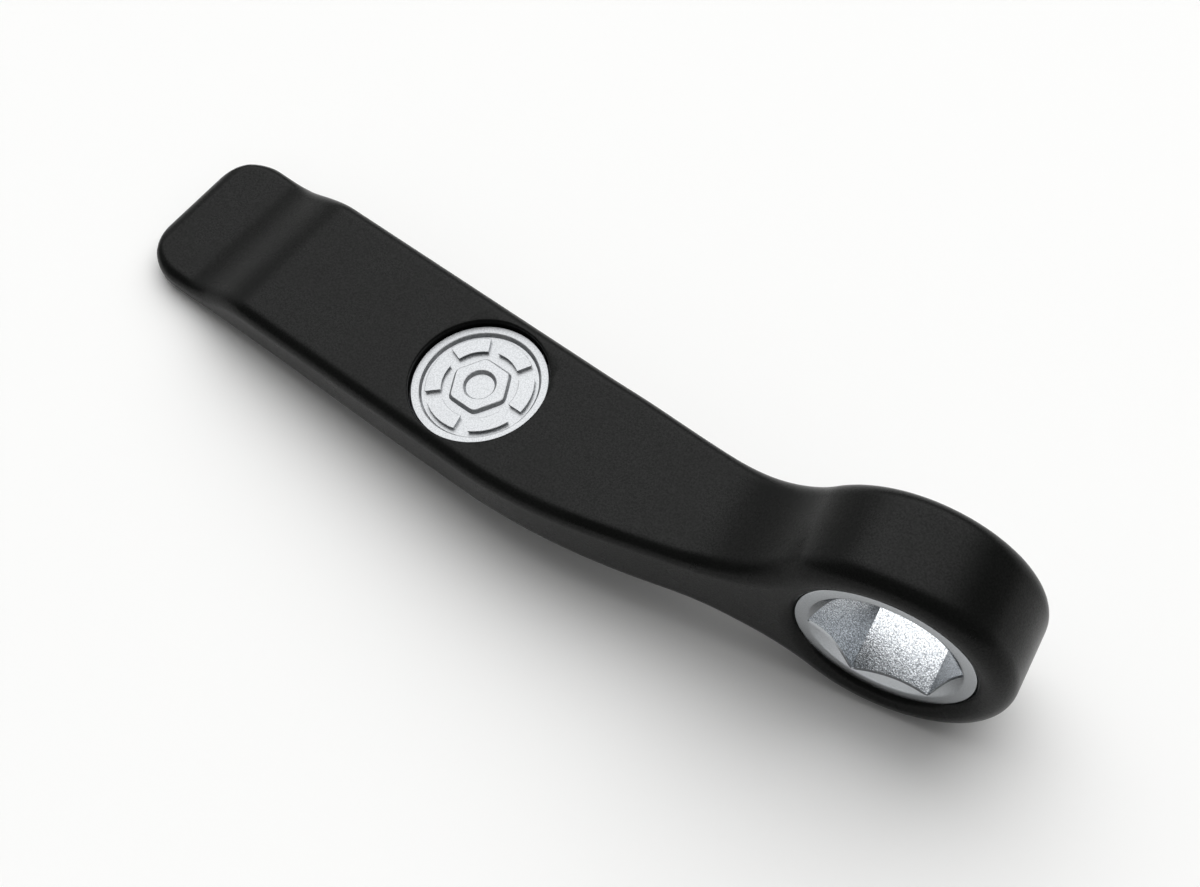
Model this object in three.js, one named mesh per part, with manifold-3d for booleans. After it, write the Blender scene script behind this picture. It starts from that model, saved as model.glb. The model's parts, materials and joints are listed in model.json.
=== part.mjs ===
// Pocket tyre lever with a 15 mm ring spanner at its other end, in millimetres, +Z up.
// A forged steel core carries the load. It ends in an eye that holds a plated hexagon bush, a black
// nylon jacket is moulded round it, and a round emblem sits in a window in the jacket's top face.

import * as THREE from 'three';
import { mergeVertices } from 'three/addons/utils/BufferGeometryUtils.js';
import Module from 'manifold-3d';

const { degToRad, lerp, smoothstep } = THREE.MathUtils;

// Socket
const nutFlats = 15; // across the flats of the nut that the socket fits
const nutPlay = 0.15; // the hexagon is this much larger than the nut
const nutSides = 6;
const bushRadius = 10.3;
const bushWidth = 10.9;
const leadInDepth = 0.7; // cone that guides the nut into the hexagon

// Ring of the jacket, round the socket
const ringRadius = 14.3;
const ringWidth = 12.3;
const lipBevel = 1.4; // slope from the ring's face down to the bush

// Handle, measured along its plan line from the centre of the ring to the end of the blade
const leverLength = 102.4;
const handleWidth = 19.1;
const handleTop = 4.6; // height of the flat top face above the socket's axis
const bellyBottom = -2.6;
const neckBottom = -4.25;
const neckTopRadius = 21; // hollow that lifts the top face into the ring
const neckBottomRadius = 23.9;
const bellyStart = 46.3;

// Bend in plan between the ring and the handle
const bendAngle = degToRad(15);
const bendVertex = 29.3; // where the ring's middle plane meets the handle's line
const bendReach = 14; // from that point to each end of the bend
const nearFlare = [18.8, 48.8]; // stretch in which each side swells from the ring to the handle
const farFlare = [5.4, 40.4];

// Spoon-shaped blade
const bladeLength = 19.2;
const lipLength = 8; // from the deepest point of the spoon to the end
const spoonDrop = 3.3;
const lipRise = 0.8; // the end lifts again to hook the bead
const bladeBottom = -1.8;
const noseLength = 1.7;
const bladeCorner = 5.7; // corner radius in plan

// Rounded edges of the jacket
const ringEdge = 2.3;
const handleEdge = 1.6;
const edgeShare = 0.42; // most of the thickness that a rounded edge may take

// Jacket walls over the core
const mouldGap = 0.2;
const ringWall = 2.1;
const handleWall = 1.4;
const bladeWall = 0.7;
const ringSideWall = 1.5;
const handleSideWall = 2.2;
const coreEdge = 0.5;

// Holes in the core that the jacket runs through
const anchorRadius = 2.6;
const anchorPlaces = [34, 73];

// Emblem
const emblemPlace = 54.4;
const emblemRadius = 7.7;
const emblemThickness = 1.2;
const emblemSunk = 0.9; // below the handle's top face
const emblemPlay = 0.35;
const bondLine = 0.3; // adhesive under the emblem
const reliefHeight = 0.45;
const rimWidth = 0.9;
const motifNutRadius = 3.5;
const motifHoleRadius = 1.9;
const motifArcRadius = 5.3;
const motifArcWidth = 0.8;
const motifArcCount = 6;
const motifArcGap = degToRad(16);

// Fineness of the round forms
const ringStep = degToRad(5.5);
const jacketEdgeSteps = 4;
const coreEdgeSteps = 1;
const noseSteps = 8;
const roundSides = 72;
const emblemSides = 48;
const arcSides = 8;
const neckPitch = 1.5;
const handlePitch = 3;
const overcut = 1;

const black = new THREE.MeshStandardMaterial({ color: 0x2b2c2b, roughness: 0.48, metalness: 0 });
const forged = new THREE.MeshStandardMaterial({ color: 0x6f7072, roughness: 0.55, metalness: 1 });
const plated = new THREE.MeshStandardMaterial({ color: 0xc9cccf, roughness: 0.3, metalness: 1 });
const bright = new THREE.MeshStandardMaterial({ color: 0xdfe1e4, roughness: 0.25, metalness: 1 });

const wasm = await Module();
wasm.setup();

// Plan line: straight through the ring, one arc, then straight to the end of the blade
const bendRadius = bendReach / Math.tan(bendAngle / 2);
const bendStart = bendVertex - bendReach;
const bendEnd = bendStart + bendRadius * bendAngle;

function planTurn(s) {
  return THREE.MathUtils.clamp((s - bendStart) / bendRadius, 0, bendAngle);
}

function place(s, across, height) {
  const turn = planTurn(s);
  const before = Math.min(s, bendStart);
  const after = Math.max(s - bendEnd, 0);
  const x = -before - bendRadius * Math.sin(turn) - after * Math.cos(turn) + across * Math.sin(turn);
  const y = bendRadius * (1 - Math.cos(turn)) + after * Math.sin(turn) + across * Math.cos(turn);
  return new THREE.Vector3(x, y, height);
}

// Side profile: the heights of the top and the bottom, from the neck to the nose
const neckTopEnd = Math.sqrt((ringRadius + neckTopRadius) ** 2 - (handleTop + neckTopRadius) ** 2);
const neckBottomEnd = Math.sqrt(
  (ringRadius + neckBottomRadius) ** 2 - (neckBottomRadius - neckBottom) ** 2,
);
const neckTopAngle = Math.atan2(handleTop + neckTopRadius, neckTopEnd);
const neckBottomAngle = Math.atan2(neckBottom - neckBottomRadius, neckBottomEnd);
const bladeStart = leverLength - bladeLength;
const spoonLow = leverLength - lipLength;
const noseStart = leverLength - noseLength;

function hollow(s, end, radius) {
  const along = Math.max(end - s, 0);
  return radius - Math.sqrt(radius ** 2 - along ** 2);
}

function topHeight(s) {
  const rise = Math.max(s - spoonLow, 0) / lipLength;
  const spoon = spoonDrop * smoothstep(s, bladeStart, spoonLow) - lipRise * rise ** 2;
  return handleTop + hollow(s, neckTopEnd, neckTopRadius) - spoon;
}

function bottomHeight(s) {
  const belly = lerp(neckBottom, bellyBottom, smoothstep(s, neckBottomEnd, bellyStart));
  const blade = (bladeBottom - bellyBottom) * smoothstep(s, emblemPlace, bladeStart);
  return belly + blade - hollow(s, neckBottomEnd, neckBottomRadius);
}

// Share of the way from the ring to the handle, and from the handle to the blade
const neckStart = ringRadius * Math.max(Math.cos(neckTopAngle), Math.cos(neckBottomAngle));
const handleShare = (s) => smoothstep(s, neckStart, neckBottomEnd);
const bladeShare = (s) => smoothstep(s, bladeStart, spoonLow);

function alongLever(s, ring, handle, blade) {
  return lerp(lerp(ring, handle, handleShare(s)), blade, bladeShare(s));
}

function sideReach(s, [start, end]) {
  const half = lerp(ringWidth, handleWidth, smoothstep(s, start, end)) / 2;
  const past = THREE.MathUtils.clamp(s - leverLength + bladeCorner, 0, bladeCorner);
  return half - bladeCorner + Math.sqrt(bladeCorner ** 2 - past ** 2);
}

// Stations shared by the top and the bottom of the profile
function stations() {
  const list = [];
  const fine = [[neckStart, bellyStart, neckPitch], [bellyStart, bladeStart, handlePitch],
    [bladeStart, noseStart, neckPitch]];
  for (const [start, end, pitch] of fine) {
    const count = Math.ceil((end - start) / pitch);
    for (let i = 0; i < count; i += 1) list.push(lerp(start, end, i / count));
  }
  list.push(noseStart);
  return list;
}

// Closed profile: round the ring, along the bottom, over the nose and back along the top
function profile() {
  const along = stations();
  const ring = [];
  const sweep = 2 * Math.PI + neckBottomAngle - neckTopAngle;
  const arcs = Math.ceil(sweep / ringStep);
  for (let i = 0; i < arcs; i += 1) {
    const angle = neckTopAngle + (sweep * i) / arcs;
    ring.push(new THREE.Vector2(ringRadius * Math.cos(angle), ringRadius * Math.sin(angle)));
  }
  const bottom = along.map((s) => new THREE.Vector2(s, bottomHeight(s)));
  const top = along.map((s) => new THREE.Vector2(s, topHeight(s))).reverse();
  const middle = (topHeight(noseStart) + bottomHeight(noseStart)) / 2;
  const half = topHeight(noseStart) - middle;
  const nose = [];
  for (let i = 1; i < noseSteps; i += 1) {
    const angle = Math.PI * (i / noseSteps - 0.5);
    nose.push(new THREE.Vector2(noseStart + noseLength * Math.cos(angle), middle + half * Math.sin(angle)));
  }
  return { points: [...ring, ...bottom, ...nose, ...top], ring: ring.length, along: along.length };
}

const outline = profile();

function outlineNormals(points) {
  return points.map((_, i) => {
    const before = points[(i + points.length - 1) % points.length];
    const after = points[(i + 1) % points.length];
    const run = after.clone().sub(before).normalize();
    return new THREE.Vector2(run.y, -run.x);
  });
}

const normals = outlineNormals(outline.points);

// Body with the lever's form: the profile drawn in by wall(s), carried across the width less side(s)
// and rounded by edge(s) where it meets the two side faces
function leverBody(wall, side, edge, edgeSteps) {
  const { points, ring, along } = outline;
  const positions = [];
  const layers = [];
  const turns = Array.from({ length: edgeSteps + 1 }, (_, j) => j / edgeSteps);
  for (const turn of [...turns].reverse()) layers.push({ flare: nearFlare, sign: -1, turn });
  for (const turn of turns) layers.push({ flare: farFlare, sign: 1, turn });
  for (const { flare, sign, turn } of layers) {
    const angle = (turn * Math.PI) / 2;
    points.forEach((point, i) => {
      const radius = edge(point.x);
      const inset = wall(point.x) + radius * (1 - Math.cos(angle));
      const s = point.x - normals[i].x * inset;
      const across = sideReach(s, flare) - side(s) - radius * (1 - Math.sin(angle));
      positions.push(place(s, sign * across, point.y - normals[i].y * inset));
    });
  }
  const count = points.length;
  const faces = [];
  const quad = (a, b, c, d) => faces.push(a, b, c, a, c, d);
  for (let j = 0; j + 1 < layers.length; j += 1) {
    for (let i = 0; i < count; i += 1) {
      const next = (i + 1) % count;
      quad(j * count + i, j * count + next, (j + 1) * count + next, (j + 1) * count + i);
    }
  }
  // Side faces: a fan round the ring's centre, a strip along the handle and a fan over the nose
  for (const { sign } of [layers[0], layers[layers.length - 1]]) {
    const base = sign < 0 ? 0 : (layers.length - 1) * count;
    const facing = (a, b, c) => faces.push(...(sign < 0 ? [a, c, b] : [a, b, c]));
    const centre = positions.length;
    positions.push(place(0, sign * (ringWidth / 2 - side(0)), 0));
    const rim = [count - 1, ...Array.from({ length: ring + 1 }, (_, i) => i)];
    for (let i = 0; i + 1 < rim.length; i += 1) facing(centre, base + rim[i], base + rim[i + 1]);
    facing(centre, base + ring, base + count - 1);
    for (let i = 0; i + 1 < along; i += 1) {
      const low = base + ring + i;
      const high = base + count - 1 - i;
      facing(low, low + 1, high - 1);
      facing(low, high - 1, high);
    }
    const first = ring + along - 1;
    for (let i = first + 1; i < count - along; i += 1) facing(base + first, base + i, base + i + 1);
  }
  const geometry = new THREE.BufferGeometry();
  const numbers = positions.flatMap((point) => point.toArray());
  geometry.setAttribute('position', new THREE.Float32BufferAttribute(numbers, 3));
  geometry.setIndex(faces);
  return solid(geometry);
}

function solid(geometry) {
  const bare = geometry.clone();
  bare.deleteAttribute('normal');
  bare.deleteAttribute('uv');
  const merged = mergeVertices(bare);
  return new wasm.Manifold(new wasm.Mesh({
    numProp: 3,
    vertProperties: merged.attributes.position.array,
    triVerts: new Uint32Array(merged.index.array),
  }));
}

// Drum across the lever, on the socket's axis, with its first corner towards the ring's free end
function crossDrum(nearRadius, farRadius, width, sides, y = 0) {
  const start = Math.PI / 2;
  const drum = new THREE.CylinderGeometry(farRadius, nearRadius, width, sides, 1, false, start);
  return solid(drum.translate(0, y, 0));
}

// Upright drum on the plan line
function uprightDrum(s, radius, bottom, top) {
  const drum = new THREE.CylinderGeometry(radius, radius, top - bottom, roundSides);
  const spot = place(s, 0, (top + bottom) / 2);
  return solid(drum.rotateX(Math.PI / 2).translate(spot.x, spot.y, spot.z));
}

const hexCorner = (nutFlats + nutPlay) / Math.sqrt(3);
const hexFlat = (nutFlats + nutPlay) / 2;

// Plated bush: a plain ring with a hexagon through it and a lead-in cone at each end
function hexSocket() {
  let body = crossDrum(bushRadius, bushRadius, bushWidth, roundSides);
  body = body.subtract(crossDrum(hexCorner, hexCorner, bushWidth + 2 * overcut, nutSides));
  const slope = (hexCorner - hexFlat) / leadInDepth;
  const wide = hexCorner + slope * overcut;
  const middle = bushWidth / 2 + (overcut - leadInDepth) / 2;
  const depth = leadInDepth + overcut;
  body = body.subtract(crossDrum(hexFlat, wide, depth, roundSides, middle));
  return body.subtract(crossDrum(wide, hexFlat, depth, roundSides, -middle));
}

const emblemFloor = handleTop - emblemSunk - emblemThickness - bondLine;
const windowRadius = emblemRadius + emblemPlay;

// Forged core: the lever's form inside the jacket, with the eye, the anchor holes and the emblem's seat
function steelCore() {
  let body = leverBody(
    (s) => alongLever(s, ringWall, handleWall, bladeWall) + mouldGap,
    (s) => alongLever(s, ringSideWall, handleSideWall, handleSideWall) + mouldGap,
    () => coreEdge,
    coreEdgeSteps,
  );
  body = body.subtract(crossDrum(bushRadius + mouldGap, bushRadius + mouldGap, ringWidth, roundSides));
  for (const s of anchorPlaces) {
    body = body.subtract(uprightDrum(s, anchorRadius, bottomHeight(s), topHeight(s)));
  }
  return body.subtract(uprightDrum(emblemPlace, windowRadius, emblemFloor, handleTop));
}

// Nylon jacket: the outer form less the core's room, with plugs through the core's anchor holes
function nylonJacket() {
  let room = leverBody(
    (s) => alongLever(s, ringWall, handleWall, bladeWall),
    (s) => alongLever(s, ringSideWall, handleSideWall, handleSideWall),
    () => coreEdge,
    coreEdgeSteps,
  );
  for (const s of anchorPlaces) {
    room = room.subtract(uprightDrum(s, anchorRadius - mouldGap, bottomHeight(s), topHeight(s)));
  }
  let body = leverBody(
    () => 0,
    () => 0,
    (s) => Math.min(alongLever(s, ringEdge, handleEdge, handleEdge), edgeLimit(s)),
    jacketEdgeSteps,
  );
  body = body.subtract(room);
  const mouth = bushRadius + mouldGap;
  body = body.subtract(crossDrum(mouth, mouth, ringWidth + 2 * overcut, roundSides));
  const lipDepth = (ringWidth - bushWidth) / 2;
  const wide = mouth + lipBevel * (1 + overcut / lipDepth);
  const middle = (bushWidth + lipDepth + overcut) / 2;
  body = body.subtract(crossDrum(mouth, wide, lipDepth + overcut, roundSides, middle));
  body = body.subtract(crossDrum(wide, mouth, lipDepth + overcut, roundSides, -middle));
  return body.subtract(uprightDrum(emblemPlace, windowRadius, emblemFloor, handleTop + overcut));
}

function edgeLimit(s) {
  const at = THREE.MathUtils.clamp(s, neckStart, noseStart);
  return edgeShare * (topHeight(at) - bottomHeight(at));
}

// Flat relief on the emblem
function relief(shape) {
  const depth = reliefHeight + bondLine;
  return solid(new THREE.ExtrudeGeometry(shape, { depth, bevelEnabled: false, curveSegments: arcSides }));
}

function arcBand(inner, outer, start, end) {
  const shape = new THREE.Shape();
  shape.absarc(0, 0, outer, start, end, false);
  shape.absarc(0, 0, inner, end, start, true);
  return shape;
}

function polygon(path, radius, sides) {
  const corners = Array.from({ length: sides }, (_, i) => {
    const angle = (2 * Math.PI * i) / sides;
    return new THREE.Vector2(radius * Math.cos(angle), radius * Math.sin(angle));
  });
  return path.setFromPoints(corners);
}

function ringShape(outer, outerSides, inner) {
  const shape = polygon(new THREE.Shape(), outer, outerSides);
  shape.holes.push(polygon(new THREE.Path(), inner, emblemSides));
  return shape;
}

// Emblem: a round disc with a raised rim, a nut in the middle and a broken circle round it
function emblemDisc() {
  const base = emblemThickness - reliefHeight;
  const blank = polygon(new THREE.Shape(), emblemRadius, emblemSides);
  let body = solid(new THREE.ExtrudeGeometry(blank, { depth: base, bevelEnabled: false }));
  const shapes = [
    ringShape(emblemRadius, emblemSides, emblemRadius - rimWidth),
    ringShape(motifNutRadius, nutSides, motifHoleRadius),
  ];
  const share = (2 * Math.PI) / motifArcCount;
  for (let i = 0; i < motifArcCount; i += 1) {
    const start = share * i + motifArcGap / 2;
    shapes.push(arcBand(motifArcRadius - motifArcWidth / 2, motifArcRadius + motifArcWidth / 2,
      start, start + share - motifArcGap));
  }
  for (const shape of shapes) body = body.add(relief(shape).translate([0, 0, base - bondLine]));
  return body;
}

function meshOf(name, body, material) {
  const { vertProperties, triVerts } = body.getMesh();
  const geometry = new THREE.BufferGeometry();
  geometry.setAttribute('position', new THREE.BufferAttribute(vertProperties, 3));
  geometry.setIndex(new THREE.BufferAttribute(triVerts, 1));
  geometry.computeVertexNormals();
  const mesh = new THREE.Mesh(geometry, material);
  mesh.name = name;
  return mesh;
}

const core = meshOf('steel_core', steelCore(), forged);
const socket = meshOf('hex_socket', hexSocket(), plated);
const jacket = meshOf('nylon_jacket', nylonJacket(), black);
const emblem = meshOf('emblem_disc', emblemDisc(), bright);
emblem.position.copy(place(emblemPlace, 0, emblemFloor + bondLine));
emblem.rotation.z = -planTurn(emblemPlace);

// The lever lies on a bench on its ring and on the underside of its blade
const lever = new THREE.Group();
lever.add(core, socket, jacket, emblem);
const touch = place(noseStart, -handleWidth / 2 + bladeCorner, bladeBottom);
lever.rotation.y = -(Math.asin(ringRadius / Math.hypot(touch.x, touch.z)) - Math.atan2(-touch.z, -touch.x));

// Origin on the bench, under the middle of the whole lever
const part = new THREE.Group();
part.add(lever);
part.updateMatrixWorld(true);
const extent = new THREE.Box3().setFromObject(part, true);
const middle = extent.getCenter(new THREE.Vector3());
lever.position.set(-middle.x, -middle.y, -extent.min.z);

export default part;
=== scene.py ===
import json
import math

import bmesh
import bpy
import numpy as np
from mathutils import Matrix, Quaternion, Vector


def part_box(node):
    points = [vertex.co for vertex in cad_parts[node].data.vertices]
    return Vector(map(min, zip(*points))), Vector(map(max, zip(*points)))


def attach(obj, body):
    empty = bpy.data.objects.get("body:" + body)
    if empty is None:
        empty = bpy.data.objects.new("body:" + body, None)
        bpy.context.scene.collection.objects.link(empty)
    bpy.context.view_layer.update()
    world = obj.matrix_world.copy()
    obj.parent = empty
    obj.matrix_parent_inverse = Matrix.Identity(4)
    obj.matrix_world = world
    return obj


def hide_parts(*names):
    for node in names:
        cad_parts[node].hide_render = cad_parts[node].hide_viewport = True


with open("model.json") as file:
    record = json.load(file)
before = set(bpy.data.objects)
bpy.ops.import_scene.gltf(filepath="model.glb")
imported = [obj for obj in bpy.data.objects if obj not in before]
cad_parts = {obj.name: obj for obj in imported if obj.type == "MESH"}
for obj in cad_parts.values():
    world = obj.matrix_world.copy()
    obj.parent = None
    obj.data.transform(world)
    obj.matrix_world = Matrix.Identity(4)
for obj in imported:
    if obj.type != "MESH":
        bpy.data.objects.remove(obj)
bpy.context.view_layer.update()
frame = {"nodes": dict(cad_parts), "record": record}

# Pocket tyre lever with a ring spanner. Pieces are drawn in millimetres in the lever's own frame:
# x out of the ring's free end, y along the socket's axis, z up. toRow lays them on the bench in metres.
mm = 0.001
socketLow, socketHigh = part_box("hex_socket")
ringCentre = (socketLow + socketHigh) / 2
socketFlat = next(m for m in frame["record"]["mounts"] if m["name"] == "socket_flat")
benchTilt = math.atan2(socketFlat["axis"][0], socketFlat["axis"][2])
toRow = Matrix.Translation(ringCentre) @ Matrix.Rotation(benchTilt, 4, "Y") @ Matrix.Scale(mm, 4)
print("frame loaded:", sorted(frame["nodes"]), "tilt", round(math.degrees(benchTilt), 2))


def smoothstep(x, start, end):
    t = np.clip((x - start) / (end - start), 0, 1)
    return t * t * (3 - 2 * t)


def lerp(a, b, t):
    return a + (b - a) * t


def linearColour(code):  # sRGB hex to linear RGBA
    parts = [int(code[i:i + 2], 16) / 255 for i in (1, 3, 5)]
    return (*(c / 12.92 if c <= 0.04045 else ((c + 0.055) / 1.055) ** 2.4 for c in parts), 1)


def addNode(tree, kind, inputs=None, **settings):
    node = tree.nodes.new(kind)
    for key, value in settings.items():
        setattr(node, key, value)
    for key, value in (inputs or {}).items():
        if isinstance(value, bpy.types.NodeSocket):
            tree.links.new(value, node.inputs[key])
        else:
            node.inputs[key].default_value = value
    return node


# Noise in the piece's own place and size, for the grain, drift or patches of a surface
def surfaceNoise(tree, size, detail, roughness):
    spot = addNode(tree, "ShaderNodeTexCoord").outputs["Object"]
    noise = addNode(tree, "ShaderNodeTexNoise", {
        "Vector": spot, "Scale": 1 / (size * mm), "Detail": detail, "Roughness": roughness})
    return noise.outputs["Fac"]


# Colour that goes from the first of two tones to the second while value crosses span
def twoTones(tree, value, tones, span):
    ramp = addNode(tree, "ShaderNodeValToRGB", {"Fac": value})
    for step, tone, place in zip(ramp.color_ramp.elements, tones, span):
        step.color, step.position = linearColour(tone), place
    return ramp


# Number that goes from the first of two limits to the second while value crosses span
def ranged(tree, value, limits, span, **settings):
    return addNode(tree, "ShaderNodeMapRange", {
        "Value": value, "From Min": span[0], "From Max": span[1],
        "To Min": limits[0], "To Max": limits[1]}, **settings).outputs["Result"]


def bumpOf(tree, noise, height, strength=1.0):
    return addNode(tree, "ShaderNodeBump", {
        "Height": noise, "Strength": strength, "Distance": height * mm}).outputs["Normal"]


def newMaterial(name):
    material = bpy.data.materials.new(name)
    material.use_nodes = True
    material.node_tree.nodes.clear()
    return material, material.node_tree


def meshPiece(name, points, faces):
    mesh = bpy.data.meshes.new(name)
    mesh.from_pydata([tuple(p) for p in points], [], faces)
    shape = bmesh.new()
    shape.from_mesh(mesh)
    bmesh.ops.recalc_face_normals(shape, faces=shape.faces)
    shape.to_mesh(mesh)
    shape.free()
    piece = bpy.data.objects.new(name, mesh)
    bpy.context.scene.collection.objects.link(piece)
    return piece


def applyModifiers(piece):
    graph = bpy.context.evaluated_depsgraph_get()
    mesh = bpy.data.meshes.new_from_object(piece.evaluated_get(graph))
    piece.modifiers.clear()
    piece.data = mesh


def cutAway(piece, *cutters):
    for cutter in cutters:
        cut = piece.modifiers.new("cut", "BOOLEAN")
        cut.operation = "DIFFERENCE"
        cut.solver = "EXACT"
        cut.object = cutter
    applyModifiers(piece)
    for cutter in cutters:
        bpy.data.objects.remove(cutter)


def finishPiece(piece, sharpAngle, node, slot, *materials):
    piece.data.transform(toRow)
    piece.data.shade_smooth()
    piece.data.set_sharp_from_angle(angle=math.radians(sharpAngle))
    piece.data.materials.clear()
    for material in materials:
        piece.data.materials.append(material)
    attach(piece, "root")
    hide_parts(node)
    print(piece.name, "faces:", len(piece.data.polygons))


# Solid turned about an axis: profile points are (radius, height), and seat(across, over, height) puts
# them in place
def turnedSolid(name, profile, sides, seat):
    points = []
    for radius, height in profile:
        for i in range(sides):
            angle = math.tau * i / sides
            points.append(seat(radius * math.cos(angle), radius * math.sin(angle), height))
    faces = [tuple(range(sides)), tuple(range(len(points) - sides, len(points)))]
    for j in range(len(profile) - 1):
        for i in range(sides):
            k = (i + 1) % sides
            faces.append((j * sides + i, j * sides + k, (j + 1) * sides + k, (j + 1) * sides + i))
    return meshPiece(name, points, faces)


# Faces of a body whose closed sections, each with the same count of points, stand round an axis
def sectionFaces(places, count):
    faces = []
    for i in range(places):
        k = (i + 1) % places
        for j in range(count):
            n = (j + 1) % count
            faces.append((i * count + j, i * count + n, k * count + n, k * count + j))
    return faces


# The lever's form, shared by the jacket and the room inside it
lever = dict(
    ringRadius=14.3, ringWidth=12.3,
    length=102.4, width=19.1, top=4.6,  # length from the ring's centre, along the plan line
    belly=-2.6, bellyStart=46.3, neckBottom=-4.25, neckTopRadius=21.0, neckBottomRadius=23.9,
    bendAngle=math.radians(15), bendVertex=29.3, bendReach=14.0,
    nearFlare=(18.8, 48.8), farFlare=(5.4, 40.4),
    bladeStart=83.2, spoonLow=94.4, spoonDrop=3.3, lipRise=0.8, bladeBottom=-1.8,
    noseLength=2.2, bladeCorner=5.7,
    emblemPlace=54.4,
    ringStep=math.radians(1.5), pitch=0.5, noseSteps=24, guardShare=0.1,
)

bendRadius = lever["bendReach"] / math.tan(lever["bendAngle"] / 2)
bendStart = lever["bendVertex"] - lever["bendReach"]
bendEnd = bendStart + bendRadius * lever["bendAngle"]
noseStart = lever["length"] - lever["noseLength"]


# s runs along the plan line from the ring's centre, across goes to the far side
def planTurn(s):
    return np.clip((s - bendStart) / bendRadius, 0, lever["bendAngle"])


def placeOnLever(s, across, height):
    turn = planTurn(s)
    before = np.minimum(s, bendStart)
    after = np.maximum(s - bendEnd, 0)
    x = -before - bendRadius * np.sin(turn) - after * np.cos(turn) + across * np.sin(turn)
    y = bendRadius * (1 - np.cos(turn)) + after * np.sin(turn) + across * np.cos(turn)
    return np.stack(np.broadcast_arrays(x, y, height), axis=-1)


def neckEnd(height, radius):  # where the neck's hollow runs out into the handle
    return math.sqrt((lever["ringRadius"] + radius) ** 2 - (abs(height) + radius) ** 2)


topEnd = neckEnd(lever["top"], lever["neckTopRadius"])
bottomEnd = neckEnd(lever["neckBottom"], lever["neckBottomRadius"])
topAngle = math.atan2(lever["top"] + lever["neckTopRadius"], topEnd)
bottomAngle = math.atan2(lever["neckBottom"] - lever["neckBottomRadius"], bottomEnd)
neckStart = lever["ringRadius"] * max(math.cos(topAngle), math.cos(bottomAngle))


def neckHollow(s, end, radius):
    along = np.maximum(end - s, 0)
    return radius - np.sqrt(radius ** 2 - along ** 2)


def topHeight(s):
    rise = np.maximum(s - lever["spoonLow"], 0) / (lever["length"] - lever["spoonLow"])
    spoon = lever["spoonDrop"] * smoothstep(s, lever["bladeStart"], lever["spoonLow"])
    spoon = spoon - lever["lipRise"] * rise ** 2
    return lever["top"] + neckHollow(s, topEnd, lever["neckTopRadius"]) - spoon


def bottomHeight(s):
    belly = lerp(lever["neckBottom"], lever["belly"], smoothstep(s, bottomEnd, lever["bellyStart"]))
    blade = lever["bladeBottom"] - lever["belly"]
    blade = blade * smoothstep(s, lever["emblemPlace"], lever["bladeStart"])
    return belly + blade - neckHollow(s, bottomEnd, lever["neckBottomRadius"])


def alongLever(s, ring, handle, blade):
    handleShare = smoothstep(s, neckStart, bottomEnd)
    bladeShare = smoothstep(s, lever["bladeStart"], lever["spoonLow"])
    return lerp(lerp(ring, handle, handleShare), blade, bladeShare)


def sideReach(s, flare):
    half = lerp(lever["ringWidth"], lever["width"], smoothstep(s, *flare)) / 2
    corner = lever["bladeCorner"]
    past = np.clip(s - lever["length"] + corner, 0, corner)
    return half - corner + np.sqrt(corner ** 2 - past ** 2)


# Closed side profile: round the ring, along the bottom, over the nose and back along the top
def sideProfile():
    sweep = math.tau + bottomAngle - topAngle
    angles = topAngle + sweep * np.linspace(0, 1, math.ceil(sweep / lever["ringStep"]), endpoint=False)
    ring = lever["ringRadius"] * np.stack([np.cos(angles), np.sin(angles)], axis=1)
    along = np.linspace(neckStart, noseStart, math.ceil((noseStart - neckStart) / lever["pitch"]))
    bottom = np.stack([along, bottomHeight(along)], axis=1)
    top = np.stack([along, topHeight(along)], axis=1)[::-1]
    middle, half = (top[0, 1] + bottom[-1, 1]) / 2, (top[0, 1] - bottom[-1, 1]) / 2
    turn = np.pi * (np.arange(1, lever["noseSteps"]) / lever["noseSteps"] - 0.5)
    noseAlong = noseStart + lever["noseLength"] * np.cos(turn)
    nose = np.stack([noseAlong, middle + half * np.sin(turn)], axis=1)
    points = np.concatenate([ring, bottom, nose, top])
    run = np.roll(points, -1, axis=0) - np.roll(points, 1, axis=0)
    run /= np.linalg.norm(run, axis=1)[:, None]
    normals = np.stack([run[:, 1], -run[:, 0]], axis=1)
    return points, normals, len(ring), len(along)


outlinePoints, outlineNormals, ringCount, alongCount = sideProfile()
outlineCount = len(outlinePoints)


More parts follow.
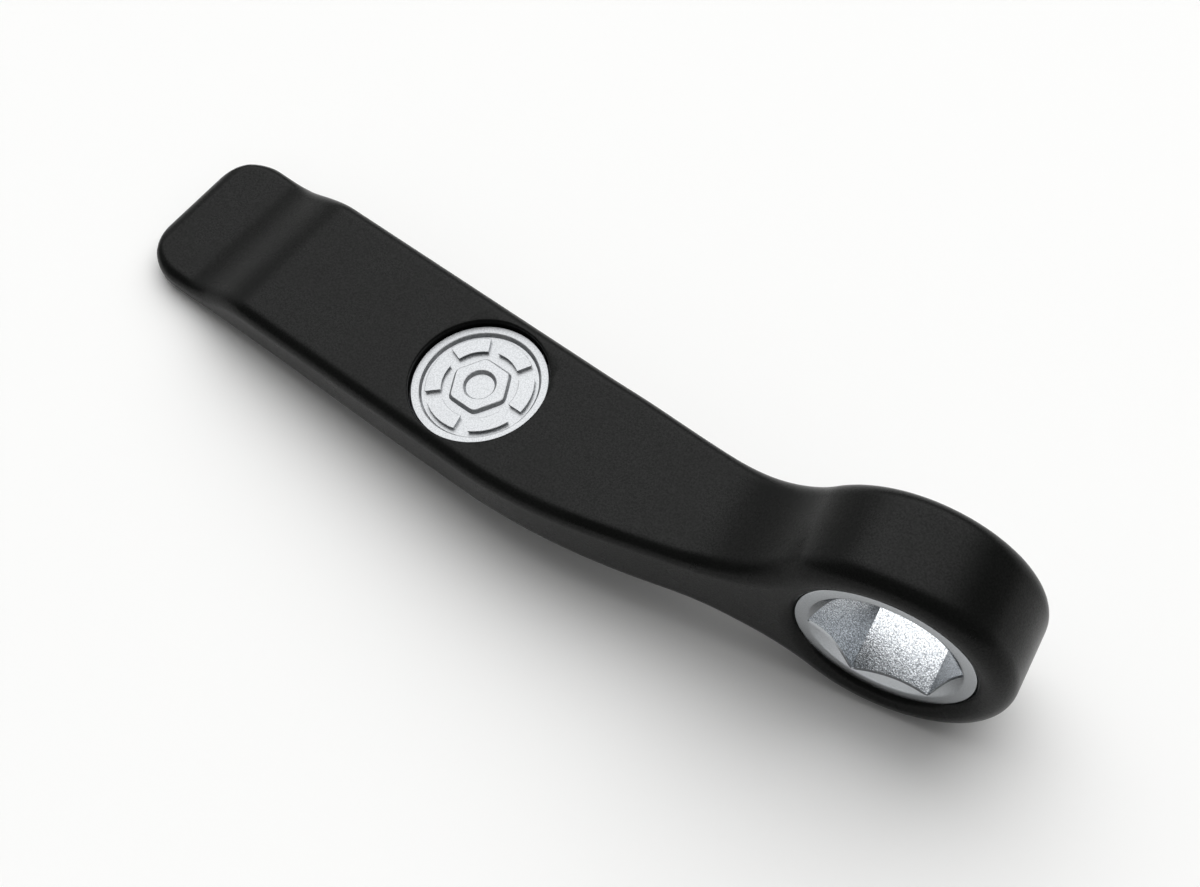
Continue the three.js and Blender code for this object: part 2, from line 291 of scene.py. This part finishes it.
# Body with the lever's form, drawn in by wall and side and rounded by edge where the sides start.
# guard adds a loop on each side of the rounding, so that the flats stay flat to the light.
def leverBody(name, wall, side, edge, edgeSteps, guard, middleLoops):
    s0, z0 = outlinePoints.T
    nx, nz = outlineNormals.T
    radius = edge(s0)

    def layer(flare, sign, turn, pull, inner):
        angle = turn * math.pi / 2
        inset = wall(s0) + radius * (1 - math.cos(angle)) + inner
        s = s0 - nx * inset
        across = sideReach(s, flare) - side(s) - radius * (1 - math.sin(angle)) - pull
        return s, sign * across, z0 - nz * inset

    def halfLayers(flare, sign):
        turns = [j / edgeSteps for j in range(edgeSteps + 1)]
        loops = [layer(flare, sign, 0, guard, 0)]
        loops += [layer(flare, sign, turn, 0, 0) for turn in turns]
        return loops + [layer(flare, sign, 1, 0, np.minimum(guard, lever["guardShare"] * radius))]

    near = halfLayers(lever["nearFlare"], -1)
    far = halfLayers(lever["farFlare"], 1)
    shares = [(i + 1) / (middleLoops + 1) for i in range(middleLoops)]
    middle = [(near[0][0], lerp(near[0][1], far[0][1], t), near[0][2]) for t in shares]
    layers = near[::-1] + middle + far
    points = [placeOnLever(*loop) for loop in layers]
    faces = []
    for j in range(len(layers) - 1):
        for i in range(outlineCount):
            k = (i + 1) % outlineCount
            low, high = j * outlineCount, (j + 1) * outlineCount
            faces.append((low + i, low + k, high + k, high + i))
    # Side faces: a fan round the ring's centre, a strip along the handle and a fan over the nose
    for j, sign in ((0, -1), (len(layers) - 1, 1)):
        base = j * outlineCount
        centre = outlineCount * len(layers) + (sign > 0)
        points.append(placeOnLever(0.0, sign * (lever["ringWidth"] / 2 - side(0.0)), 0.0)[None])
        rim = [outlineCount - 1, *range(ringCount + 1)]
        faces += [(centre, base + a, base + b) for a, b in zip(rim, rim[1:])]
        faces.append((centre, base + ringCount, base + outlineCount - 1))
        for i in range(alongCount - 1):
            low, high = base + ringCount + i, base + outlineCount - 1 - i
            faces.append((low, low + 1, high - 1, high))
        noseFirst, noseLast = ringCount + alongCount - 1, outlineCount - alongCount
        faces.append(tuple(range(base + noseFirst, base + noseLast + 1)))
    return meshPiece(name, np.concatenate(points), faces)


# Black nylon jacket with the mouth for the bush and the window for the emblem
jacket = dict(
    ringEdge=2.3, handleEdge=1.6, edgeShare=0.42, edgeSteps=10, guard=0.25, middleLoops=5,
    mouth=10.34, lipStart=5.15, lipReach=1.6, lipSteps=10,
    window=8.05, windowFloor=2.0, windowEdge=0.22, windowSteps=5,
    ringWall=2.1, handleWall=1.4, bladeWall=0.7, ringSideWall=1.5, handleSideWall=2.2,
    roomEdge=0.5, roomEdgeSteps=2, roomGuard=0.1, roomLoops=1,
    sides=160, sharpAngle=38, cutPast=1.0, cutRun=3.0,  # how far the cutters run on past the surface
)
emblemSpot = Vector(placeOnLever(lever["emblemPlace"], 0.0, lever["top"]))
emblemTurn = -float(planTurn(lever["emblemPlace"]))


def jacketEdge(s):
    at = np.clip(s, neckStart, noseStart)
    most = jacket["edgeShare"] * (topHeight(at) - bottomHeight(at))
    edge = alongLever(s, jacket["ringEdge"], jacket["handleEdge"], jacket["handleEdge"])
    return np.minimum(edge, most)


# A cutter's profile run on in its last direction and up past the surface, so that the cut opens cleanly
def carriedOn(profile, past):
    (r1, h1), (r2, h2) = profile[-2:]
    outer = r2 + jacket["cutRun"] * (r2 - r1)
    return profile + [(outer, h2 + jacket["cutRun"] * (h2 - h1)), (outer, past)]


# Mouth: straight past the bush, then a rounded lip out to each side face
def mouthProfile():
    half, reach = lever["ringWidth"] / 2, jacket["lipReach"]
    rise = half - jacket["lipStart"]
    lip = []
    for i in range(jacket["lipSteps"]):
        turn = math.pi / 2 * i / jacket["lipSteps"]
        radius = jacket["mouth"] + reach * (1 - math.cos(turn))
        lip.append((radius, jacket["lipStart"] + rise * math.sin(turn)))
    lip = carriedOn(lip, half + jacket["cutPast"])
    return [(r, -y) for r, y in reversed(lip)] + lip


def windowProfile():
    edge, radius = jacket["windowEdge"], jacket["window"]
    rim = [(radius, -jacket["windowFloor"])]
    for i in range(jacket["windowSteps"]):
        turn = math.pi / 2 * i / jacket["windowSteps"]
        rim.append((radius + edge * (1 - math.cos(turn)), edge * (math.sin(turn) - 1)))
    return carriedOn(rim, jacket["cutPast"])


def buildJacket(material):
    body = leverBody(
        "nylonJacket", lambda s: 0 * s, lambda s: 0 * s, jacketEdge,
        jacket["edgeSteps"], jacket["guard"], jacket["middleLoops"])
    room = leverBody(
        "room",
        lambda s: alongLever(s, jacket["ringWall"], jacket["handleWall"], jacket["bladeWall"]),
        lambda s: alongLever(
            s, jacket["ringSideWall"], jacket["handleSideWall"], jacket["handleSideWall"]),
        lambda s: 0 * s + jacket["roomEdge"],
        jacket["roomEdgeSteps"], jacket["roomGuard"], jacket["roomLoops"])
    mouth = turnedSolid("mouth", mouthProfile(), jacket["sides"], lambda a, b, h: (a, h, b))
    window = turnedSolid(
        "window", windowProfile(), jacket["sides"],
        lambda a, b, h: (emblemSpot.x + a, emblemSpot.y + b, emblemSpot.z + h))
    cutAway(body, room, mouth, window)
    finishPiece(body, jacket["sharpAngle"], "nylon_jacket", "black_nylon", material)


# Plated bush: a ring with a six-sided hole, a lead-in cone at each end and small broken edges
bush = dict(
    radius=10.3, width=10.9, flats=15.15, cornerRound=0.1,
    leadDepth=0.7, leadMargin=0.06, outerEdge=0.2, leadEdge=0.07, archEdge=0.15, archShare=0.4,
    flatSteps=32, cornerSteps=2, cornerSpan=1.5, edgeSteps=4, sharpAngle=12,
    wallLean=0.2,  # a face whose normal leans less than this along the axis is a broached wall
)


def hexAngles():  # closer together round the corners
    corner = math.pi / 3
    soft = bush["cornerRound"] * math.tan(math.pi / 6) / (bush["flats"] / math.sqrt(3))
    soft = math.atan(soft * bush["cornerSpan"])
    angles = []
    for k in range(6):
        base = k * corner
        angles += [base + soft * (2 * i / bush["cornerSteps"] - 1) for i in range(bush["cornerSteps"])]
        step = (corner - 2 * soft) / bush["flatSteps"]
        angles += [base + soft + step * i for i in range(bush["flatSteps"])]
    return angles


def hexRadius(angle):
    inner, soft = bush["flats"] / 2, bush["cornerRound"]
    off = (angle + math.pi / 6) % (math.pi / 3) - math.pi / 6  # from the nearest corner
    flat = inner / math.cos(math.pi / 6 - abs(off))
    centre = (inner - soft) / math.cos(math.pi / 6)
    bite = soft ** 2 - (centre * math.sin(off)) ** 2
    if bite <= 0:
        return flat
    rounded = centre * math.cos(off) + math.sqrt(bite)
    return min(flat, rounded)


def buildBush(faced, broached):
    half = bush["width"] / 2
    lead = bush["flats"] / math.sqrt(3) + bush["leadMargin"]
    slope = (lead - bush["flats"] / 2) / bush["leadDepth"]  # radius lost for each mm of depth
    edge, nick, arch = bush["outerEdge"], bush["leadEdge"], bush["archEdge"]
    run = math.hypot(1, slope)
    angles = hexAngles()
    points = []
    for angle in angles:
        wall = hexRadius(angle)
        depth = (lead - wall) / slope
        rim = [(bush["radius"] - edge * (1 - math.cos(t)), half - edge * (1 - math.sin(t)))
               for t in np.linspace(0, math.pi / 2, bush["edgeSteps"] + 1)]
        rim += [(lead + nick, half), (lead - nick * slope / run, half - nick / run)]
        short = min(arch, bush["archShare"] * depth * run)
        rim += [(wall + short * slope / run, half - depth + short / run), (wall, half - depth - arch)]
        loop = [(bush["radius"], 0.0), *rim, (wall, 0.0), *((r, -y) for r, y in reversed(rim))]
        points += [(r * math.cos(angle), y, r * math.sin(angle)) for r, y in loop]
    body = meshPiece("hexBush", points, sectionFaces(len(angles), len(loop)))
    finishPiece(body, bush["sharpAngle"], "hex_socket", "plated_steel", faced, broached)
    for face in body.data.polygons:  # the six walls stand along the axis
        face.material_index = int(abs(face.normal.y) < bush["wallLean"])


# Emblem: a disc with a raised rim, a plain nut in the middle and a broken ring round it
emblem = dict(
    radius=7.82, thickness=1.2, sunk=0.9, relief=0.45, draft=0.28, rimWidth=0.9, edge=0.06, sides=160,
    nutRadius=3.5, nutHole=1.9, nutCorner=0.105, nutSteps=10,
    arcRadius=5.3, arcWidth=0.8, arcCount=6, arcGap=math.radians(16), arcSteps=28,
    sharpAngle=24,
    levelFrom=0.9, steepBelow=0.6, sameHeight=0.01,  # a normal's upward share, and mm, to tell finishes
)


# Geometry Nodes tree that turns one rounded bar, bent to an arc, into a broken ring
def brokenRingTree():
    tree = bpy.data.node_groups.new("brokenRing", "GeometryNodeTree")
    tree.interface.new_socket("Geometry", in_out="OUTPUT", socket_type="NodeSocketGeometry")
    for name, kind in (("Count", "Int"), ("Radius", "Float"), ("Crown", "Float"), ("Foot", "Float"),
                       ("Height", "Float"), ("Sweep", "Float"), ("Edge", "Float"), ("Steps", "Int")):
        tree.interface.new_socket(name, in_out="INPUT", socket_type="NodeSocket" + kind)
    given = addNode(tree, "NodeGroupInput").outputs
    bar = addNode(tree, "GeometryNodeCurveArc", {
        "Resolution": given["Steps"], "Radius": given["Radius"], "Sweep Angle": given["Sweep"]})
    upright = addNode(tree, "GeometryNodeSetCurveNormal", {"Curve": bar.outputs["Curve"]}, mode="Z_UP")
    box = addNode(tree, "GeometryNodeCurvePrimitiveQuadrilateral", {
        "Height": given["Height"], "Bottom Width": given["Foot"], "Top Width": given["Crown"],
        "Offset": 0.0}, mode="TRAPEZOID")
    soft = addNode(tree, "GeometryNodeFilletCurve", {
        "Curve": box.outputs["Curve"], "Radius": given["Edge"], "Count": 2,
        "Limit Radius": True}, mode="POLY")
    solid = addNode(tree, "GeometryNodeCurveToMesh", {
        "Curve": upright.outputs["Curve"], "Profile Curve": soft.outputs["Curve"], "Fill Caps": True})
    spots = addNode(tree, "GeometryNodePoints", {"Count": given["Count"]})
    share = addNode(tree, "ShaderNodeMath", {0: math.tau, 1: given["Count"]}, operation="DIVIDE")
    index = addNode(tree, "GeometryNodeInputIndex")
    turn = addNode(tree, "ShaderNodeMath", {
        0: index.outputs["Index"], 1: share.outputs[0]}, operation="MULTIPLY")
    about = addNode(tree, "ShaderNodeCombineXYZ", {"Z": turn.outputs[0]})
    ring = addNode(tree, "GeometryNodeInstanceOnPoints", {
        "Points": spots.outputs[0], "Instance": solid.outputs["Mesh"],
        "Rotation": about.outputs["Vector"]})
    real = addNode(tree, "GeometryNodeRealizeInstances", {"Geometry": ring.outputs["Instances"]})
    addNode(tree, "NodeGroupOutput", {"Geometry": real.outputs["Geometry"]})
    return tree


def brokenRing():
    ring = bpy.data.objects.new("brokenRing", bpy.data.meshes.new("brokenRing"))
    bpy.context.scene.collection.objects.link(ring)
    tree = brokenRingTree()
    step = ring.modifiers.new("arcs", "NODES")
    step.node_group = tree
    sizes = {
        "Count": emblem["arcCount"], "Radius": emblem["arcRadius"], "Crown": emblem["arcWidth"],
        "Foot": emblem["arcWidth"] + 4 * emblem["draft"], "Height": 2 * emblem["relief"],
        "Sweep": math.tau / emblem["arcCount"] - emblem["arcGap"],
        "Edge": emblem["edge"], "Steps": emblem["arcSteps"]}
    for socket in tree.interface.items_tree:
        if socket.in_out == "INPUT":
            step[socket.identifier] = sizes[socket.name]
    applyModifiers(ring)
    return ring


# Disc with its rim, turned from one profile: the back, the outer wall, the rim's crown, its inner foot
def emblemBlank():
    base, top = emblem["thickness"] - emblem["relief"], emblem["thickness"]
    outer, inner, edge = emblem["radius"], emblem["radius"] - emblem["rimWidth"], emblem["edge"]
    profile = [(outer - edge, 0.0), (outer, edge), (outer, top - edge), (outer - edge, top),
               (inner + edge, top), (inner - emblem["draft"] * edge / emblem["relief"], top - edge),
               (inner - emblem["draft"], base)]
    return turnedSolid("emblemBlank", profile, emblem["sides"], lambda a, b, h: (a, b, h))


def emblemNut():
    top, edge, draft = emblem["relief"], emblem["edge"], emblem["draft"]
    points = []
    places = 6 * emblem["nutSteps"]
    for i in range(places):
        angle = math.tau * i / places
        off = angle % (math.pi / 3) - math.pi / 6  # from the middle of a flat
        outer = min(emblem["nutRadius"] * math.cos(math.pi / 6) / math.cos(off),
                    emblem["nutRadius"] - emblem["nutCorner"])
        hole = emblem["nutHole"]
        lean = draft * edge / top
        loop = [(outer + 2 * draft, -top), (outer + lean, top - edge), (outer - edge, top),
                (hole + edge, top), (hole - lean, top - edge), (hole - 2 * draft, -top)]
        points += [(r * math.cos(angle), r * math.sin(angle), z) for r, z in loop]
    return meshPiece("emblemNut", points, sectionFaces(places, len(loop)))


def buildEmblem(polished, stippled, paintedShade):
    base = emblem["thickness"] - emblem["relief"]
    body, nut, ring = emblemBlank(), emblemNut(), brokenRing()
    shape = bmesh.new()
    for part, lift in ((body, 0.0), (nut, base), (ring, base)):
        part.data.transform(Matrix.Translation((0, 0, lift)))
        shape.from_mesh(part.data)
    for face in shape.faces:
        # the field between the raised lines is the only upward face at the base's height
        low = abs(face.calc_center_median().z - base) < emblem["sameHeight"]
        field = low and face.normal.z > emblem["levelFrom"]
        # the steep walls take the third material, which is painted shade
        face.material_index = 1 if field else 2 if face.normal.z < emblem["steepBelow"] else 0
    mesh = bpy.data.meshes.new("emblemDisc")
    shape.to_mesh(mesh)
    shape.free()
    for part in (nut, ring):
        bpy.data.objects.remove(part)
    body.name, body.data = "emblemDisc", mesh
    seat = emblemSpot + Vector((0, 0, -emblem["sunk"] - emblem["thickness"]))
    mesh.transform(Matrix.Translation(seat) @ Matrix.Rotation(emblemTurn, 4, "Z"))
    finishPiece(body, emblem["sharpAngle"], "emblem_disc", "bright_zinc", polished, stippled, paintedShade)


# Glass-filled nylon from a spark-eroded mould: near black, satin, with a fine even grain that breaks
# the highlights and a slow drift in gloss where the melt cooled
nylon = dict(
    tones=("#090a09", "#0f100f"), specular=(0.087, 0.142), rough=(0.24, 0.32),
    driftSize=9.0, grainSize=0.22, grainHeight=0.012,  # drawn coarser than the real 0.05 mm, to show
)


def nylonMaterial():
    material, tree = newMaterial("glassFilledNylonBlackSatin")
    drift = surfaceNoise(tree, nylon["driftSize"], detail=3.0, roughness=0.5)
    grain = surfaceNoise(tree, nylon["grainSize"], detail=2.0, roughness=0.6)
    mixed = addNode(tree, "ShaderNodeMath", {0: drift, 1: grain}, operation="MULTIPLY")
    tone = twoTones(tree, mixed.outputs[0], nylon["tones"], span=(0.0, 0.5))
    shader = addNode(tree, "ShaderNodeBsdfPrincipled", {
        "Base Color": tone.outputs["Color"],
        "Roughness": ranged(tree, drift, nylon["rough"], span=(0.3, 0.7)),
        "Specular IOR Level": ranged(tree, grain, nylon["specular"], span=(0.35, 0.65)),
        "Normal": bumpOf(tree, grain, nylon["grainHeight"])})
    addNode(tree, "ShaderNodeOutputMaterial", {"Surface": shader.outputs["BSDF"]})
    return material


# Nickel-plated steel: pale grey and bright, smooth on the faced ends, sandy on the broached walls, where
# the grain breaks the light into sparks
plating = dict(
    grainSize=0.16, grainDetail=3.0, grainBreak=0.65,  # drawn coarser than the real 0.05 mm, to show
    faced=dict(tones=("#a6a9ac", "#b7babd"), rough=(0.16, 0.26), height=0.002),
    broached=dict(tones=("#74787c", "#dfe2e5"), rough=(0.16, 0.26), height=0.022),
)
# Die-cast zinc under bright plating: the raised lines are wiped smooth and the field keeps a stippled
# grain;
# the steep walls between them are painted dark, as painted shade at the feet of the relief
zinc = dict(
    grainSize=0.16, grainDetail=2.0, grainBreak=0.6,
    wiped=dict(tones=("#9d9fa1", "#bec0c2"), rough=(0.352, 0.55), height=0.004),
    stippled=dict(tones=("#727478", "#d2d4d7"), rough=(0.432, 0.675), height=0.03),
    # painted shade: dark tones on the relief's steep walls stand in for the shade at their feet
    paintedWallShade=dict(tones=("#323438", "#4c4e52"), rough=(0.4, 0.625), height=0.03),
)


# Metal whose tone, gloss and relief all follow one fine grain
def metalMaterial(name, metal, finish):
    material, tree = newMaterial(name)
    look = metal[finish]
    grain = surfaceNoise(tree, metal["grainSize"], metal["grainDetail"], metal["grainBreak"])
    tone = twoTones(tree, grain, look["tones"], span=(0.38, 0.62))
    shader = addNode(tree, "ShaderNodeBsdfPrincipled", {
        "Base Color": tone.outputs["Color"], "Metallic": 1.0,
        "Roughness": ranged(tree, grain, look["rough"], span=(0.3, 0.7)),
        "Normal": bumpOf(tree, grain, look["height"])})
    addNode(tree, "ShaderNodeOutputMaterial", {"Surface": shader.outputs["BSDF"]})
    return material


# Drop-forged steel as it comes from the hammer: dark grey scale in soft patches over duller metal
forging = dict(tones=("#3d3e40", "#77797c"), patchSize=3.0, rough=0.55, pitHeight=0.05)


def forgedMaterial():
    material, tree = newMaterial("dropForgedSteelScaled")
    patch = surfaceNoise(tree, forging["patchSize"], detail=6.0, roughness=0.65)
    tone = twoTones(tree, patch, forging["tones"], span=(0.0, 1.0))
    shader = addNode(tree, "ShaderNodeBsdfPrincipled", {
        "Base Color": tone.outputs["Color"], "Metallic": 1.0, "Roughness": forging["rough"],
        "Normal": bumpOf(tree, patch, forging["pitHeight"])})
    addNode(tree, "ShaderNodeOutputMaterial", {"Surface": shader.outputs["BSDF"]})
    return material


buildJacket(nylonMaterial())
buildBush(
    metalMaterial("nickelPlatedSteelFaced", plating, "faced"),
    metalMaterial("nickelPlatedSteelBroached", plating, "broached"))
# the third emblem material is painted shade for the relief's steep walls
buildEmblem(
    metalMaterial("dieCastZincWiped", zinc, "wiped"),
    metalMaterial("dieCastZincStippled", zinc, "stippled"),
    metalMaterial("dieCastZincPaintedShade", zinc, "paintedWallShade"))
core = frame["nodes"]["steel_core"]
core.data.materials.clear()
core.data.materials.append(forgedMaterial())
print("pieces done")

# Studio: pale paper floor, a soft box above and behind the lever, a sky that fades away round it and
# a soft white card beyond the blade's end, which evens out what the blade's slope mirrors
studio = dict(
    floorSize=6.0, floorColour="#f8f8f7", fibreSize=0.8, fibreHeight=0.02, fibreStrength=0.1,
    boxPlace=(-0.06, 0.48, 0.82), boxSize=1.4, boxPower=2.3,
    skySide=(-0.06, 0.5, 0.86), skyLevel=2.2, skyTones=("#545454", "#ffffff"), skySpan=(0.6, 0.95),
    cardSide=(-0.85, 0.41, 0.33), cardLevel=0.5, cardColour="#ffffff", cardSpan=(0.72, 1.0),
)


def buildFloor():
    half = studio["floorSize"] / 2
    corners = [(-half, -half, 0), (half, -half, 0), (half, half, 0), (-half, half, 0)]
    floor = meshPiece("floor", corners, [(0, 1, 2, 3)])
    material, tree = newMaterial("whitePaperMatt")
    fibre = surfaceNoise(tree, studio["fibreSize"], detail=2.0, roughness=0.5)
    paper = addNode(tree, "ShaderNodeBsdfDiffuse", {
        "Color": linearColour(studio["floorColour"]),
        "Normal": bumpOf(tree, fibre, studio["fibreHeight"], studio["fibreStrength"])})
    addNode(tree, "ShaderNodeOutputMaterial", {"Surface": paper.outputs["BSDF"]})
    floor.data.materials.append(material)


def buildLight():
    lamp = bpy.data.lights.new("softBox", "AREA")
    lamp.shape, lamp.size, lamp.energy = "SQUARE", studio["boxSize"], studio["boxPower"]
    box = bpy.data.objects.new("softBox", lamp)
    box.location = studio["boxPlace"]
    box.rotation_mode = "QUATERNION"
    box.rotation_quaternion = (-Vector(studio["boxPlace"])).to_track_quat("-Z", "Y")
    bpy.context.scene.collection.objects.link(box)
    world = bpy.data.worlds.new("room")
    bpy.context.scene.world = world
    world.use_nodes = True
    tree = world.node_tree
    tree.nodes.clear()
    spot = addNode(tree, "ShaderNodeTexCoord").outputs["Generated"]

    def facing(side):
        along = addNode(tree, "ShaderNodeVectorMath", {0: spot, 1: side}, operation="DOT_PRODUCT")
        return along.outputs["Value"]

    tone = twoTones(tree, facing(studio["skySide"]), studio["skyTones"], studio["skySpan"])
    tone.color_ramp.interpolation = "EASE"
    sky = addNode(tree, "ShaderNodeBackground", {
        "Color": tone.outputs["Color"], "Strength": studio["skyLevel"]})
    glow = ranged(
        tree, facing(studio["cardSide"]), (0.0, studio["cardLevel"]), studio["cardSpan"],
        interpolation_type="SMOOTHSTEP")
    card = addNode(tree, "ShaderNodeBackground", {
        "Color": linearColour(studio["cardColour"]), "Strength": glow})
    both = addNode(tree, "ShaderNodeAddShader", {
        0: sky.outputs["Background"], 1: card.outputs["Background"]})
    addNode(tree, "ShaderNodeOutputWorld", {"Surface": both.outputs["Shader"]})


# The photograph's view: 84 mm lens on a 36 mm wide frame, about 0.3 m from the lever
view = dict(
    place=(0.077887, -0.137313, 0.278301), aim=(0.005446, -0.006258, 0.014), roll=math.radians(-3.29),
    lens=84.0, sensor=36.0, clipNear=0.01, clipFar=20.0)


def buildCamera():
    data = bpy.data.cameras.new("camera")
    data.lens, data.sensor_width, data.sensor_fit = view["lens"], view["sensor"], "HORIZONTAL"
    data.clip_start, data.clip_end = view["clipNear"], view["clipFar"]
    camera = bpy.data.objects.new("camera", data)
    camera.location = view["place"]
    camera.rotation_mode = "QUATERNION"
    look = (Vector(view["aim"]) - Vector(view["place"])).to_track_quat("-Z", "Y")
    camera.rotation_quaternion = look @ Quaternion((0, 0, 1), view["roll"])
    bpy.context.scene.collection.objects.link(camera)
    bpy.context.scene.camera = camera


buildFloor()
buildLight()
buildCamera()
bpy.context.scene.view_settings.view_transform = "Standard"
print("studio done")
